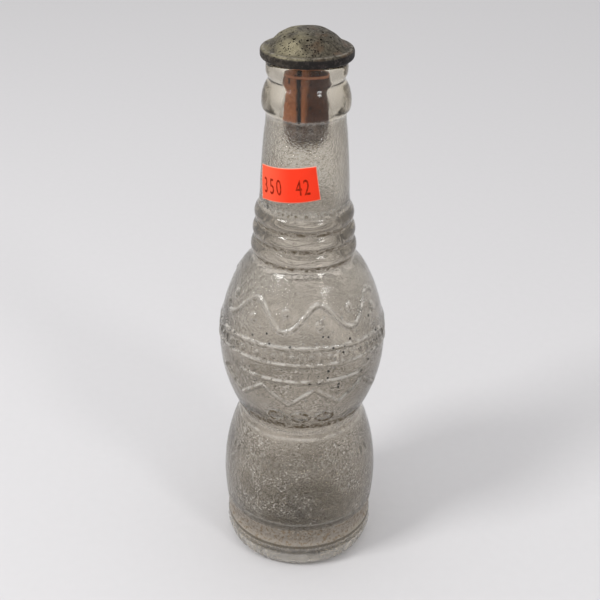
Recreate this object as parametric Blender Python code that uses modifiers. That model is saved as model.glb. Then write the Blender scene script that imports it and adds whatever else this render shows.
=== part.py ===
"""Old embossed soda bottle, reused as a clothes sprinkler.

A moulded glass bottle with a crown-cap lip stands on its foot at the origin, +Z up.
Plain ornament of lines, a wave, studs and loops is raised on its belly. Its mouth is
closed by a sprinkler stopper: a tapered cork on a metal tube, under a perforated
metal rose. The stopper pulls straight up out of the bore, and the rose turns with its
tube in the cork. A paper price label is stuck to the neck.
All lengths are in metres.
"""

import math

import bmesh
import bpy
from mathutils import Matrix, Vector

MM = 0.001

# Fineness of the round pieces, in sides of a full turn
BOTTLE_SIDES = 48
ROSE_SIDES = 40
SMALL_SIDES = 24
HOLE_SIDES = 10
SHARP_ANGLE = math.radians(35)
MERGE_DISTANCE = 0.001 * MM

# Clearance between pieces that touch in the real object
GAP = 0.3 * MM

# Foot and heel of the bottle
FOOT_RADIUS = 24.2 * MM
FOOT_WIDTH = 4.6 * MM
PUSH_UP = 2.4 * MM
HEEL_RADIUS = 28.1 * MM
HEEL_HEIGHT = 9.5 * MM
HEEL_GROOVE_RADIUS = 27.3 * MM
HEEL_GROOVE_HEIGHT = 3.0 * MM

# Lower bulb
BULB_RADIUS = 29.0 * MM
BULB_LOWER_HEIGHT = 17.5 * MM
BULB_UPPER_HEIGHT = 28.4 * MM

# Waist between the bulb and the belly
WAIST_RADIUS = 22.4 * MM
WAIST_HEIGHT = 3.6 * MM
WAIST_EDGE = 0.6 * MM

# Belly, with a row of its mesh in the middle of its band and one above the band, from its widest
BELLY_RADIUS = 29.9 * MM
BELLY_LOWER_HEIGHT = 26.5 * MM
BELLY_UPPER_HEIGHT = 35.1 * MM
BAND_ROWS = (7.1 * MM, 14.0 * MM)

# Cross-section of the raised strokes, wide at their foot inside the glass and narrow on top
STROKE_FOOT = 2.0 * MM
STROKE_TOP = 0.8 * MM
STROKE_RISE = 0.5 * MM
STROKE_DEPTH = 0.5 * MM

# Two lines round the belly that frame its band, lower at the sides than at the front and back
LINE_HEIGHTS = (4.9 * MM, 11.1 * MM)
LINE_DROOP = 2.2 * MM
LINE_SIDES = 36

# Raised ornament on the front, repeated on the back, measured from the front and from the belly's widest
WAVE_MIDDLE = 21.0 * MM
WAVE_SWING = 4.4 * MM
WAVE_LENGTH = 27.0 * MM
WAVE_REACH = 38.0 * MM
WAVE_STEPS = 32
STUD_FOOT = 2.3 * MM
STUD_TOP = 1.1 * MM
STUD_SIDES = 8
BAR_HEIGHT = -1.6 * MM
BAR_REACH = 24.0 * MM
BAR_STEPS = 8
ZIGZAG_MIDDLE = -8.3 * MM
ZIGZAG_SWING = 3.6 * MM
ZIGZAG_LENGTH = 19.0 * MM
ZIGZAG_REACH = 33.25 * MM
LOOP_MIDDLE = -18.3 * MM
LOOP_HALF_WIDTH = 3.4 * MM
LOOP_HALF_HEIGHT = 2.2 * MM
LOOP_PITCH = 9.6 * MM
LOOP_SIDES = 12

# Rings at the root of the neck, and the neck
RING_COUNT = 3
RING_HEIGHT = 6.1 * MM
RING_ROOT_RADIUS = 17.7 * MM
RING_RISE = 1.1 * MM
NECK_ROOT_RADIUS = 15.8 * MM
NECK_TOP_RADIUS = 13.5 * MM
NECK_HEIGHT = 32.3 * MM

# Collar and crown-cap lip
COLLAR_RADIUS = 14.8 * MM
COLLAR_LOWER_HEIGHT = 3.5 * MM
COLLAR_UPPER_HEIGHT = 7.7 * MM
LIP_GROOVE_RADIUS = 12.6 * MM
LIP_RADIUS = 13.3 * MM
LIP_HEIGHT = 6.2 * MM
LIP_FLARE_HEIGHT = 2.0 * MM
LIP_ROUND = 1.2 * MM

# Inside of the bottle
BORE_RADIUS = 8.0 * MM
BORE_ROUND = 0.6 * MM
BORE_LENGTH = 9.0 * MM
NECK_WALL = 3.9 * MM
BODY_WALL = 3.4 * MM
FLOOR_THICKNESS = 8.0 * MM
FLOOR_ROUND_HEIGHT = 11.0 * MM
FLOOR_ROUND_WIDTH = 12.0 * MM
FLOOR_CROWN = 1.6 * MM

# Metal rose of the stopper, measured from its underside
ROSE_RADIUS = 15.2 * MM
ROSE_RIM_HEIGHT = 3.6 * MM
ROSE_SHEET = 0.6 * MM
ROSE_TOP_ROUND = 1.2 * MM
ROSE_BOTTOM_ROUND = 1.0 * MM
CURL_WIDTH = 3.0 * MM
DOME_RADIUS = 13.4 * MM
DOME_HEIGHT = 5.4 * MM
HOLE_RADIUS = 0.5 * MM
HOLE_OVERRUN = 1.0 * MM
INNER_HOLE_COUNT = 6
INNER_HOLE_CIRCLE = 5.4 * MM
OUTER_HOLE_COUNT = 12
OUTER_HOLE_CIRCLE = 8.4 * MM

# Pan under the rose, tube, washer and cork
PAN_SHEET = 0.6 * MM
TUBE_RADIUS = 3.0 * MM
TUBE_WALL = 0.5 * MM
TUBE_FLANGE_RADIUS = 4.6 * MM
TUBE_FLARE_RADIUS = 4.8 * MM
WASHER_RADIUS = 6.3 * MM
WASHER_THICKNESS = 0.8 * MM
CORK_LENGTH = 27.6 * MM
CORK_TAPER = 0.6 * MM
CORK_CHAMFER = 0.5 * MM

# Paper label on the neck, turned from the front towards the left, its right end up
LABEL_WIDTH = 22.0 * MM
LABEL_HEIGHT = 11.8 * MM
LABEL_THICKNESS = 0.2 * MM
LABEL_GAP = 0.1 * MM
LABEL_ABOVE_RINGS = 5.2 * MM
LABEL_TURN = math.radians(-24.6)
LABEL_TILT = math.radians(8.0)
LABEL_SIDES = 24

# Heights of the bottle's parts, each standing on the one below
BULB_BOTTOM = HEEL_HEIGHT + HEEL_GROOVE_HEIGHT
BULB_WIDEST = BULB_BOTTOM + BULB_LOWER_HEIGHT
BULB_TOP = BULB_WIDEST + BULB_UPPER_HEIGHT
BELLY_BOTTOM = BULB_TOP + WAIST_HEIGHT
BELLY_WIDEST = BELLY_BOTTOM + BELLY_LOWER_HEIGHT
BELLY_TOP = BELLY_WIDEST + BELLY_UPPER_HEIGHT
RINGS_TOP = BELLY_TOP + RING_COUNT * RING_HEIGHT
NECK_TOP = RINGS_TOP + NECK_HEIGHT
COLLAR_WIDEST = NECK_TOP + COLLAR_LOWER_HEIGHT
LIP_BOTTOM = COLLAR_WIDEST + COLLAR_UPPER_HEIGHT
LIP_TOP = LIP_BOTTOM + LIP_HEIGHT

# Heights of the stopper's parts, each a gap away from what carries it
ROSE_BOTTOM = LIP_TOP + GAP
ROSE_SHOULDER = ROSE_BOTTOM + ROSE_RIM_HEIGHT
PAN_BOTTOM = ROSE_BOTTOM + ROSE_SHEET + GAP
PAN_FLOOR = PAN_BOTTOM + PAN_SHEET
CORK_TOP = PAN_BOTTOM - GAP
CORK_BOTTOM = CORK_TOP - CORK_LENGTH
WASHER_TOP = CORK_BOTTOM - GAP
WASHER_BOTTOM = WASHER_TOP - WASHER_THICKNESS

# How sharply each flank falls away from its widest point
HEEL_FALL_SHARE = 0.7
BULB_FALL_SHARE = 0.95
BELLY_LOWER_FALL_SHARE = 1.0
BELLY_UPPER_FALL_SHARE = 0.9
WAIST_FALL_SHARE = 1.0
COLLAR_UNDER_SHARE = 0.55
COLLAR_FALL_SHARE = 1.1
DOME_CROWN_SHARE = 4.3
DOME_EDGE_SHARE = 1.85

# How far a stroke's corner is widened at most, and how far a stud sits off the wave's middle
STROKE_CORNER_SHARE = 0.5
STUD_SHIFT_SHARE = 0.45

# Steps along each stretch of an outline
LONG_STEPS = 6
SHORT_STEPS = 3
RING_STEPS = 4
INNER_STEPS = 4


def fall(widest, end, steps, sharpness):
    """Points (radius, height) from the widest point, not included, down or up to the end."""
    points = []
    for step in range(1, steps + 1):
        share = step / steps
        radius = end[0] + (widest[0] - end[0]) * (1 - share**2) ** sharpness
        points.append((radius, widest[1] + (end[1] - widest[1]) * share))
    return points


def quarter(start, end, steps, start_is_upright):
    """Points of a quarter ellipse after the start, to the end, leaving the start upright or level."""
    points = []
    for step in range(1, steps + 1):
        angle = math.pi / 2 * step / steps
        across = 1 - math.cos(angle) if start_is_upright else math.sin(angle)
        along = math.sin(angle) if start_is_upright else 1 - math.cos(angle)
        radius = start[0] + (end[0] - start[0]) * across
        points.append((radius, start[1] + (end[1] - start[1]) * along))
    return points


def belly_radius(height):
    """Radius of the belly, without its raised ornament."""
    if height < BELLY_WIDEST:
        end, span, power = WAIST_RADIUS + WAIST_EDGE, BELLY_LOWER_HEIGHT, BELLY_LOWER_FALL_SHARE
    else:
        end, span, power = RING_ROOT_RADIUS, BELLY_UPPER_HEIGHT, BELLY_UPPER_FALL_SHARE
    share = min(abs(height - BELLY_WIDEST) / span, 1)
    return end + (BELLY_RADIUS - end) * (1 - share**2) ** power


def belly_outline():
    """The belly from its bottom to its top, both ends included, with rows clear of the lines round it."""
    heights = [BELLY_WIDEST + row for row in BAND_ROWS]
    for step in range(LONG_STEPS):
        heights.append(BELLY_BOTTOM + BELLY_LOWER_HEIGHT * step / LONG_STEPS)
        heights.append(BELLY_WIDEST + BELLY_UPPER_HEIGHT * step / LONG_STEPS)
    lowest = BELLY_WIDEST + LINE_HEIGHTS[0] - LINE_DROOP - STROKE_FOOT / 2
    highest = BELLY_WIDEST + LINE_HEIGHTS[1] + STROKE_FOOT / 2
    kept = [height for height in heights if not lowest < height < highest]
    kept += [BELLY_WIDEST + BAND_ROWS[0], BELLY_TOP]
    return [(belly_radius(height), height) for height in sorted(kept)]


def rings_outline():
    """The rings above the belly's top, each a rounded swelling, up to the neck's root."""
    points = []
    for ring in range(RING_COUNT):
        for step in range(1, RING_STEPS + 1):
            share = (ring + step / RING_STEPS) / RING_COUNT
            swelling = RING_RISE * math.sin(math.pi * step / RING_STEPS)
            radius = RING_ROOT_RADIUS + (NECK_ROOT_RADIUS - RING_ROOT_RADIUS) * share
            points.append((radius + swelling, BELLY_TOP + RING_COUNT * RING_HEIGHT * share))
    return points


def outer_outline():
    """The outside of the glass from the middle of the base to the top of the lip."""
    heel = (HEEL_RADIUS, HEEL_HEIGHT)
    groove = (HEEL_GROOVE_RADIUS, BULB_BOTTOM)
    bulb = (BULB_RADIUS, BULB_WIDEST)
    bulb_edge = (WAIST_RADIUS + WAIST_EDGE, BULB_TOP)
    collar = (COLLAR_RADIUS, COLLAR_WIDEST)
    foot_inner = FOOT_RADIUS - FOOT_WIDTH
    points = [(0, PUSH_UP)]
    points += quarter((0, PUSH_UP), (foot_inner, 0), SHORT_STEPS, False)
    points += [(FOOT_RADIUS, 0)]
    points += list(reversed(fall(heel, (FOOT_RADIUS, 0), LONG_STEPS, HEEL_FALL_SHARE)))[1:]
    points += [heel]
    points += quarter(heel, groove, SHORT_STEPS, True)
    points += list(reversed(fall(bulb, groove, SHORT_STEPS, BULB_FALL_SHARE)))[1:]
    points += [bulb]
    points += fall(bulb, bulb_edge, LONG_STEPS, BULB_FALL_SHARE)
    points += [(WAIST_RADIUS, BULB_TOP + WAIST_HEIGHT / 2)]
    points += belly_outline()
    points += rings_outline()
    points += [(NECK_TOP_RADIUS, NECK_TOP)]
    points += list(reversed(fall(collar, (NECK_TOP_RADIUS, NECK_TOP), SHORT_STEPS, COLLAR_UNDER_SHARE)))[1:]
    points += [collar]
    points += fall(collar, (LIP_GROOVE_RADIUS, LIP_BOTTOM), SHORT_STEPS, COLLAR_FALL_SHARE)
    points += [(LIP_RADIUS, LIP_BOTTOM + LIP_FLARE_HEIGHT), (LIP_RADIUS, LIP_TOP - LIP_ROUND)]
    points += quarter(points[-1], (LIP_RADIUS - LIP_ROUND, LIP_TOP), SHORT_STEPS, True)
    return points


def inner_outline():
    """The inside of the glass from the middle of the floor to the mouth."""
    corner = (BULB_RADIUS - BODY_WALL, FLOOR_THICKNESS + FLOOR_ROUND_HEIGHT)
    floor = (corner[0] - FLOOR_ROUND_WIDTH, FLOOR_THICKNESS)
    bulb = (corner[0], BULB_WIDEST)
    waist = (WAIST_RADIUS - BODY_WALL, BULB_TOP + WAIST_HEIGHT / 2)
    belly = (BELLY_RADIUS - BODY_WALL, BELLY_WIDEST)
    rings = (RING_ROOT_RADIUS - BODY_WALL, BELLY_TOP)
    neck_root = (NECK_ROOT_RADIUS - NECK_WALL, RINGS_TOP)
    mouth = (BORE_RADIUS, LIP_TOP - BORE_ROUND)
    points = [(0, FLOOR_THICKNESS + FLOOR_CROWN)]
    points += quarter((0, FLOOR_THICKNESS + FLOOR_CROWN), floor, SHORT_STEPS, False)
    points += quarter(floor, corner, INNER_STEPS, False)
    points += [bulb]
    points += fall(bulb, waist, INNER_STEPS, WAIST_FALL_SHARE)
    points += list(reversed(fall(belly, waist, INNER_STEPS, WAIST_FALL_SHARE)))[1:]
    points += [belly]
    points += fall(belly, rings, INNER_STEPS, BELLY_UPPER_FALL_SHARE)
    points += [neck_root, (BORE_RADIUS, mouth[1] - BORE_LENGTH), mouth]
    points += quarter(mouth, (BORE_RADIUS + BORE_ROUND, LIP_TOP), SHORT_STEPS, True)
    return points


def rose_surface(radius):
    """Height of the rose's outer surface over the dome, which rises from the rim's shoulder."""
    share = (1 - (radius / DOME_RADIUS) ** DOME_CROWN_SHARE) ** DOME_EDGE_SHARE
    return ROSE_SHOULDER + DOME_HEIGHT * share


def rose_outline():
    """The rose's outer skin from the middle of the dome over the rim to the curl under it."""
    top_round = (ROSE_RADIUS, ROSE_SHOULDER - ROSE_TOP_ROUND)
    bottom_round = (ROSE_RADIUS - ROSE_BOTTOM_ROUND, ROSE_BOTTOM)
    points = []
    for step in range(LONG_STEPS + 1):
        radius = DOME_RADIUS * math.sin(math.pi / 2 * step / LONG_STEPS)
        points.append((radius, rose_surface(radius)))
    points += [(ROSE_RADIUS - ROSE_TOP_ROUND, ROSE_SHOULDER)]
    points += quarter(points[-1], top_round, SHORT_STEPS, False)
    points += [(ROSE_RADIUS, ROSE_BOTTOM + ROSE_BOTTOM_ROUND)]
    points += quarter(points[-1], bottom_round, SHORT_STEPS, True)
    points += [(bottom_round[0] - CURL_WIDTH, ROSE_BOTTOM)]
    return points


def material(name, color, roughness, metallic=0.0, transmission=0.0):
    """A Principled material."""
    made = bpy.data.materials.new(name)
    made.use_nodes = True
    shader = made.node_tree.nodes["Principled BSDF"]
    shader.inputs["Base Color"].default_value = (*color, 1)
    shader.inputs["Roughness"].default_value = roughness
    shader.inputs["Metallic"].default_value = metallic
    shader.inputs["Transmission Weight"].default_value = transmission
    made.diffuse_color = (*color, 1)
    return made


def as_part(source, name, surface, collection, carrier=None):
    """Puts what a source object evaluates to in the collection, as one smooth-shaded object."""
    graph = bpy.context.evaluated_depsgraph_get()
    mesh = bpy.data.meshes.new_from_object(source.evaluated_get(graph))
    bpy.data.objects.remove(source)
    mesh.name = name
    mesh.materials.clear()
    mesh.materials.append(surface)
    mesh.shade_smooth()
    mesh.set_sharp_from_angle(angle=SHARP_ANGLE)
    part = bpy.data.objects.new(name, mesh)
    part.parent = carrier
    collection.objects.link(part)
    return part


def turned(name, outline, sides, closed):
    """An object whose Screw modifier turns an outline of (radius, height) points about Z."""
    mesh = bpy.data.meshes.new(name)
    edges = [(index, index + 1) for index in range(len(outline) - 1)]
    if closed:
        edges.append((len(outline) - 1, 0))
    mesh.from_pydata([(radius, 0, height) for radius, height in outline], edges, [])
    blank = bpy.data.objects.new(name + "_profile", mesh)
    bpy.context.scene.collection.objects.link(blank)
    screw = blank.modifiers.new("Turn", "SCREW")
    screw.steps = sides
    screw.render_steps = sides
    screw.use_merge_vertices = True
    screw.merge_threshold = MERGE_DISTANCE
    return blank


def belly_place(across, above):
    """A point of the belly, so far round it and above its widest, and the way out of the glass there."""
    height = BELLY_WIDEST + above
    angle = across / BELLY_RADIUS
    slope = (belly_radius(height + MM) - belly_radius(height - MM)) / (2 * MM)
    around = Vector((math.sin(angle), -math.cos(angle), 0))
    place = around * belly_radius(height) + Vector((0, 0, height))
    return place, (around - Vector((0, 0, slope))).normalized()


def add_stroke(shape, path, closed=False):
    """A raised stroke along a path of (across, above), its foot sunk into the glass."""
    places = [belly_place(*point) for point in path]
    last = len(places) - 1
    foot, top = STROKE_FOOT / 2, STROKE_TOP / 2
    section = ((-foot, -STROKE_DEPTH), (foot, -STROKE_DEPTH), (top, STROKE_RISE), (-top, STROKE_RISE))
    rings = []
    for index, (place, out) in enumerate(places):
        before = places[index - 1 if index or closed else 0][0]
        after = places[(index + 1) % (last + 1) if index < last or closed else last][0]
        along = (after - before).normalized()
        straight = (after - place).normalized() if index < last or closed else along
        side = out.cross(along) / max(straight.dot(along), STROKE_CORNER_SHARE)
        rings.append([shape.verts.new(place + side * wide + out * up) for wide, up in section])
    for ring, next_ring in zip(rings, rings[1:] + rings[:1] * closed):
        for corner in range(4):
            after = (corner + 1) % 4
            shape.faces.new((ring[corner], ring[after], next_ring[after], next_ring[corner]))
    if not closed:
        shape.faces.new(rings[0])
        shape.faces.new(rings[-1])


def add_stud(shape, across, above):
    """A raised flat-topped stud."""
    place, out = belly_place(across, above)
    upright = out.to_track_quat("Z", "X").to_matrix().to_4x4()
    middle = Matrix.Translation(place + out * (STROKE_RISE - STROKE_DEPTH) / 2)
    bmesh.ops.create_cone(
        shape,
        cap_ends=True,
        segments=STUD_SIDES,
        radius1=STUD_FOOT,
        radius2=STUD_TOP,
        depth=STROKE_RISE + STROKE_DEPTH,
        matrix=middle @ upright,
    )


def line_path(height):
    """One line all round the belly."""
    path = []
    for step in range(LINE_SIDES):
        angle = 2 * math.pi * (step + 0.5) / LINE_SIDES
        path.append((angle * BELLY_RADIUS, height - LINE_DROOP * (1 - abs(math.cos(angle)))))
    return path


def add_ornament(shape, start):
    """The ornament of one side: a wave with studs in its bights, a bar, a zigzag and a row of loops."""
    wave = []
    for step in range(WAVE_STEPS + 1):
        across = WAVE_REACH * (2 * step / WAVE_STEPS - 1)
        swing = math.sin(2 * math.pi * across / WAVE_LENGTH)
        wave.append((start + across, WAVE_MIDDLE + WAVE_SWING * swing))
    add_stroke(shape, wave)
    for bight in (-5, -3, -1, 1, 3, 5):
        above = WAVE_MIDDLE - WAVE_SWING * STUD_SHIFT_SHARE * math.sin(math.pi / 2 * bight)
        add_stud(shape, start + WAVE_LENGTH / 4 * bight, above)
    bar = []
    for step in range(BAR_STEPS + 1):
        bar.append((start + BAR_REACH * (2 * step / BAR_STEPS - 1), BAR_HEIGHT))
    add_stroke(shape, bar)
    corners = round(4 * ZIGZAG_REACH / ZIGZAG_LENGTH)
    zigzag = []
    for step in range(2 * corners + 1):
        across = ZIGZAG_REACH * (step / corners - 1)
        swing = (1, 0, -1, 0)[step % 4]
        zigzag.append((start + across, ZIGZAG_MIDDLE + ZIGZAG_SWING * swing))
    add_stroke(shape, zigzag)
    for place in (-1, 0, 1):
        loop = []
        for step in range(LOOP_SIDES):
            angle = 2 * math.pi * step / LOOP_SIDES
            across = start + LOOP_PITCH * place + LOOP_HALF_WIDTH * math.cos(angle)
            loop.append((across, LOOP_MIDDLE + LOOP_HALF_HEIGHT * math.sin(angle)))
        add_stroke(shape, loop, True)


def make_ornament(collection):
    """One mesh of all the raised strokes and studs, which is joined to the glass."""
    shape = bmesh.new()
    for height in LINE_HEIGHTS:
        add_stroke(shape, line_path(height), True)
    for start in (0, math.pi * BELLY_RADIUS):
        add_ornament(shape, start)
    bmesh.ops.recalc_face_normals(shape, faces=shape.faces)
    mesh = bpy.data.meshes.new("ornament")
    shape.to_mesh(mesh)
    shape.free()
    ornament = bpy.data.objects.new("ornament", mesh)
    ornament.hide_render = True
    ornament.display_type = "WIRE"
    collection.objects.link(ornament)
    return ornament


def make_bottle(collection, cutters, surface):
    """The glass, turned from its inside up to the lip and down its outside, with ornament raised on it."""
    outline = inner_outline() + list(reversed(outer_outline()))
    blank = turned("bottle", outline, BOTTLE_SIDES, False)
    raised = blank.modifiers.new("Ornament", "BOOLEAN")
    raised.operation = "UNION"
    raised.solver = "EXACT"
    raised.object = make_ornament(cutters)
    as_part(blank, "bottle", surface, collection)


def make_hole_cutter(collection):
    """One mesh of round pins, each square to the dome where it passes through."""
    shape = bmesh.new()
    circles = ((0, 1), (INNER_HOLE_CIRCLE, INNER_HOLE_COUNT), (OUTER_HOLE_CIRCLE, OUTER_HOLE_COUNT))
    for circle, count in circles:
        drop = rose_surface(circle) - rose_surface(circle + HOLE_RADIUS)
        for index in range(count):
            turn = Matrix.Rotation(2 * math.pi * index / count - math.pi / 2, 4, "Z")
            place = Matrix.Translation(Vector((circle, 0, rose_surface(circle))))
            tilt = Matrix.Rotation(math.atan2(drop, HOLE_RADIUS), 4, "Y")
            bmesh.ops.create_cone(
                shape,
                cap_ends=True,
                segments=HOLE_SIDES,
                radius1=HOLE_RADIUS,
                radius2=HOLE_RADIUS,
                depth=2 * (ROSE_SHEET + HOLE_OVERRUN),
                matrix=turn @ place @ tilt,
            )
    mesh = bpy.data.meshes.new("hole_cutter")
    shape.to_mesh(mesh)
    shape.free()
    cutter = bpy.data.objects.new("hole_cutter", mesh)
    cutter.hide_render = True
    cutter.display_type = "WIRE"
    collection.objects.link(cutter)
    return cutter


def make_rose(collection, cutters, surface, carrier):
    """The perforated dome, its rim and the curl that holds the pan, from one sheet."""
    blank = turned("sprinkler_rose", rose_outline(), ROSE_SIDES, False)
    sheet = blank.modifiers.new("Sheet", "SOLIDIFY")
    sheet.thickness = ROSE_SHEET
    sheet.offset = -1
    holes = blank.modifiers.new("Holes", "BOOLEAN")
    holes.operation = "DIFFERENCE"
    holes.solver = "EXACT"
    holes.object = make_hole_cutter(cutters)
    as_part(blank, "sprinkler_rose", surface, collection, carrier)


def make_pan(collection, surface, carrier):
    """The pan that closes the rose from below, with its edge turned up inside the rim."""
    radius = ROSE_RADIUS - ROSE_SHEET - GAP
    top = ROSE_SHOULDER - ROSE_TOP_ROUND
    hole = TUBE_RADIUS + GAP
    outline = [
        (radius - PAN_SHEET, top),
        (radius, top),
        (radius, PAN_BOTTOM + PAN_SHEET),
        (radius - PAN_SHEET, PAN_BOTTOM),
        (hole, PAN_BOTTOM),
        (hole, PAN_FLOOR),
        (radius - PAN_SHEET, PAN_FLOOR),
    ]
    as_part(turned("rose_pan", outline, ROSE_SIDES, True), "rose_pan", surface, collection, carrier)


def make_tube(collection, surface, carrier):
    """The water tube, flanged over the pan and flared under the washer."""
    bore = TUBE_RADIUS - TUBE_WALL
    flange = PAN_FLOOR + GAP
    flare = WASHER_BOTTOM - GAP
    outline = [
        (bore, flange + TUBE_WALL),
        (TUBE_FLANGE_RADIUS, flange + TUBE_WALL),
        (TUBE_FLANGE_RADIUS, flange),
        (TUBE_RADIUS, flange),
        (TUBE_RADIUS, flare),
        (TUBE_FLARE_RADIUS, flare),
        (TUBE_FLARE_RADIUS, flare - TUBE_WALL),
        (bore, flare - TUBE_WALL),
    ]
    as_part(turned("water_tube", outline, SMALL_SIDES, True), "water_tube", surface, collection, carrier)


def make_cork(collection, surface, carrier):
    """The tapered cork, bored for the tube."""
    hole = TUBE_RADIUS + GAP
    top = BORE_RADIUS - GAP
    bottom = top - CORK_TAPER
    outline = [
        (hole, CORK_TOP),
        (top - CORK_CHAMFER, CORK_TOP),
        (top, CORK_TOP - CORK_CHAMFER),
        (bottom, CORK_BOTTOM + CORK_CHAMFER),
        (bottom - CORK_CHAMFER, CORK_BOTTOM),
        (hole, CORK_BOTTOM),
    ]
    as_part(turned("cork", outline, ROSE_SIDES, True), "cork", surface, collection, carrier)


def make_washer(collection, surface, carrier):
    """The flat washer between the cork and the tube's flare."""
    hole = TUBE_RADIUS + GAP
    outline = [
        (hole, WASHER_TOP),
        (WASHER_RADIUS, WASHER_TOP),
        (WASHER_RADIUS, WASHER_BOTTOM),
        (hole, WASHER_BOTTOM),
    ]
    as_part(turned("cork_washer", outline, SMALL_SIDES, True), "cork_washer", surface, collection, carrier)


def neck_radius(height):
    """Radius of the tapering neck."""
    share = (height - RINGS_TOP) / NECK_HEIGHT
    return NECK_ROOT_RADIUS + (NECK_TOP_RADIUS - NECK_ROOT_RADIUS) * share


def make_label(collection, surface):
    """The paper label, a tilted flat grid wrapped round the neck and given its thickness."""
    middle = RINGS_TOP + LABEL_ABOVE_RINGS + LABEL_HEIGHT / 2
    tilt = Matrix.Rotation(LABEL_TILT, 4, "Z")
    shape = bmesh.new()
    bmesh.ops.create_grid(shape, x_segments=LABEL_SIDES, y_segments=1, size=0.5)
    for vertex in shape.verts:
        across, up, _ = tilt @ Vector((vertex.co.x * LABEL_WIDTH, vertex.co.y * LABEL_HEIGHT, 0))
        height = middle + up
        angle = LABEL_TURN + across / neck_radius(middle)
        radius = neck_radius(height) + LABEL_GAP
        vertex.co = Vector((radius * math.sin(angle), -radius * math.cos(angle), height))
    mesh = bpy.data.meshes.new("price_label")
    shape.to_mesh(mesh)
    shape.free()
    blank = bpy.data.objects.new("label_sheet", mesh)
    bpy.context.scene.collection.objects.link(blank)
    paper = blank.modifiers.new("Paper", "SOLIDIFY")
    paper.thickness = LABEL_THICKNESS
    paper.offset = 1
    as_part(blank, "price_label", surface, collection)


def carrier_at(name, height, collection, parent=None):
    """An empty on the bottle's axis that moves what is parented to it."""
    made = bpy.data.objects.new(name, None)
    made.location = (0, 0, height)
    made.parent = parent
    made.empty_display_size = ROSE_RADIUS
    collection.objects.link(made)
    return made


def keep_place(collection):
    """Takes each carrier's own place out of its pieces, so that they stay where they are."""
    bpy.context.view_layer.update()
    for part in collection.objects:
        if part.type == "MESH" and part.parent:
            part.matrix_parent_inverse = part.parent.matrix_world.inverted()


def main():
    for old in list(bpy.data.objects):
        bpy.data.objects.remove(old)
    collection = bpy.data.collections.new("sprinkler_soda_bottle")
    cutters = bpy.data.collections.new("cutters")
    bpy.context.scene.collection.children.link(collection)
    bpy.context.scene.collection.children.link(cutters)

    glass = material("clear_glass", (0.93, 0.95, 0.92), 0.05, transmission=1.0)
    tarnish = material("tarnished_metal", (0.30, 0.29, 0.25), 0.45, metallic=1.0)
    bright = material("bright_metal", (0.55, 0.53, 0.48), 0.35, metallic=1.0)
    bark = material("cork", (0.36, 0.19, 0.11), 0.8)
    paper = material("orange_paper", (0.95, 0.12, 0.03), 0.6)

    stopper = carrier_at("stopper_carrier", LIP_TOP, collection)
    head = carrier_at("rose_carrier", 0, collection, stopper)
    make_bottle(collection, cutters, glass)
    make_label(collection, paper)
    make_cork(collection, bark, stopper)
    make_washer(collection, bright, stopper)
    make_tube(collection, bright, head)
    make_pan(collection, tarnish, head)
    make_rose(collection, cutters, tarnish, head)
    keep_place(collection)


main()
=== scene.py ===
import math
from types import SimpleNamespace

import bmesh
import bpy
import numpy as np
from mathutils import Euler, Matrix, Vector, noise


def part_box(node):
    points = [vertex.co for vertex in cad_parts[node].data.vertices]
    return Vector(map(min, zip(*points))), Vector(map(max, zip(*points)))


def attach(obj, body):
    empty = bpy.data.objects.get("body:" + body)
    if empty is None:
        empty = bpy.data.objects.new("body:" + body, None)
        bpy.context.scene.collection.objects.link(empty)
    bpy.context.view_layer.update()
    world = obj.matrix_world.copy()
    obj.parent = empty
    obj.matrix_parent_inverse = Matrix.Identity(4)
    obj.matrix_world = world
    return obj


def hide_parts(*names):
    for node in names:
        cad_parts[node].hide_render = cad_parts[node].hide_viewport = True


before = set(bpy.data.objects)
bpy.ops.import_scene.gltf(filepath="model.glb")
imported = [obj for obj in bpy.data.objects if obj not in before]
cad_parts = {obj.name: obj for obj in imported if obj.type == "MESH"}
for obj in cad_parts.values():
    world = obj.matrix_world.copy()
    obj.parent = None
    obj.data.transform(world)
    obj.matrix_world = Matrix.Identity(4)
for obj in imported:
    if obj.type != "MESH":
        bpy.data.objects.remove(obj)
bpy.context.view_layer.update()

MM = 0.001
TINY = 0.01 * MM

# The camera, fitted to the bottle's outline in the photograph
CAMERA_PLACE = Vector((-0.94, -336.3, 290.1)) * MM
CAMERA_PITCH = math.radians(29.10)
CAMERA_ROLL = math.radians(1.01)
CAMERA_LENS = 64.14
SENSOR_WIDTH = 36.0

# Fineness of the turned pieces
GLASS_SIDES = 320
ROSE_SIDES = 192
CORK_SIDES = 160

# Heights on the glass between which its surface changes, from the foot up
FOOT_EDGE = 1.0 * MM
BULB_BOTTOM = 12.5 * MM
BULB_TOP = 58.4 * MM
BELLY_BOTTOM = 62.0 * MM
RINGS_BOTTOM = 123.6 * MM
RINGS_TOP = 141.9 * MM
NECK_TOP = 174.2 * MM
GLASS_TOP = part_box("bottle")[1].z
RING_HEIGHT = (RINGS_TOP - RINGS_BOTTOM) / 3

# Radius of the push-up under the foot
PUSH_UP_RADIUS = 22 * MM

# Heights of dark lines low on the bottle: a tide mark of dirt inside, a line of painted shade on the front
# where the floor of the glass shows through, and a line round the heel
TIDE_MARK_HEIGHT = 16.2 * MM
FLOOR_LINE_HEIGHT = 21.3 * MM
HEEL_LINE_HEIGHT = 10.9 * MM

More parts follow.
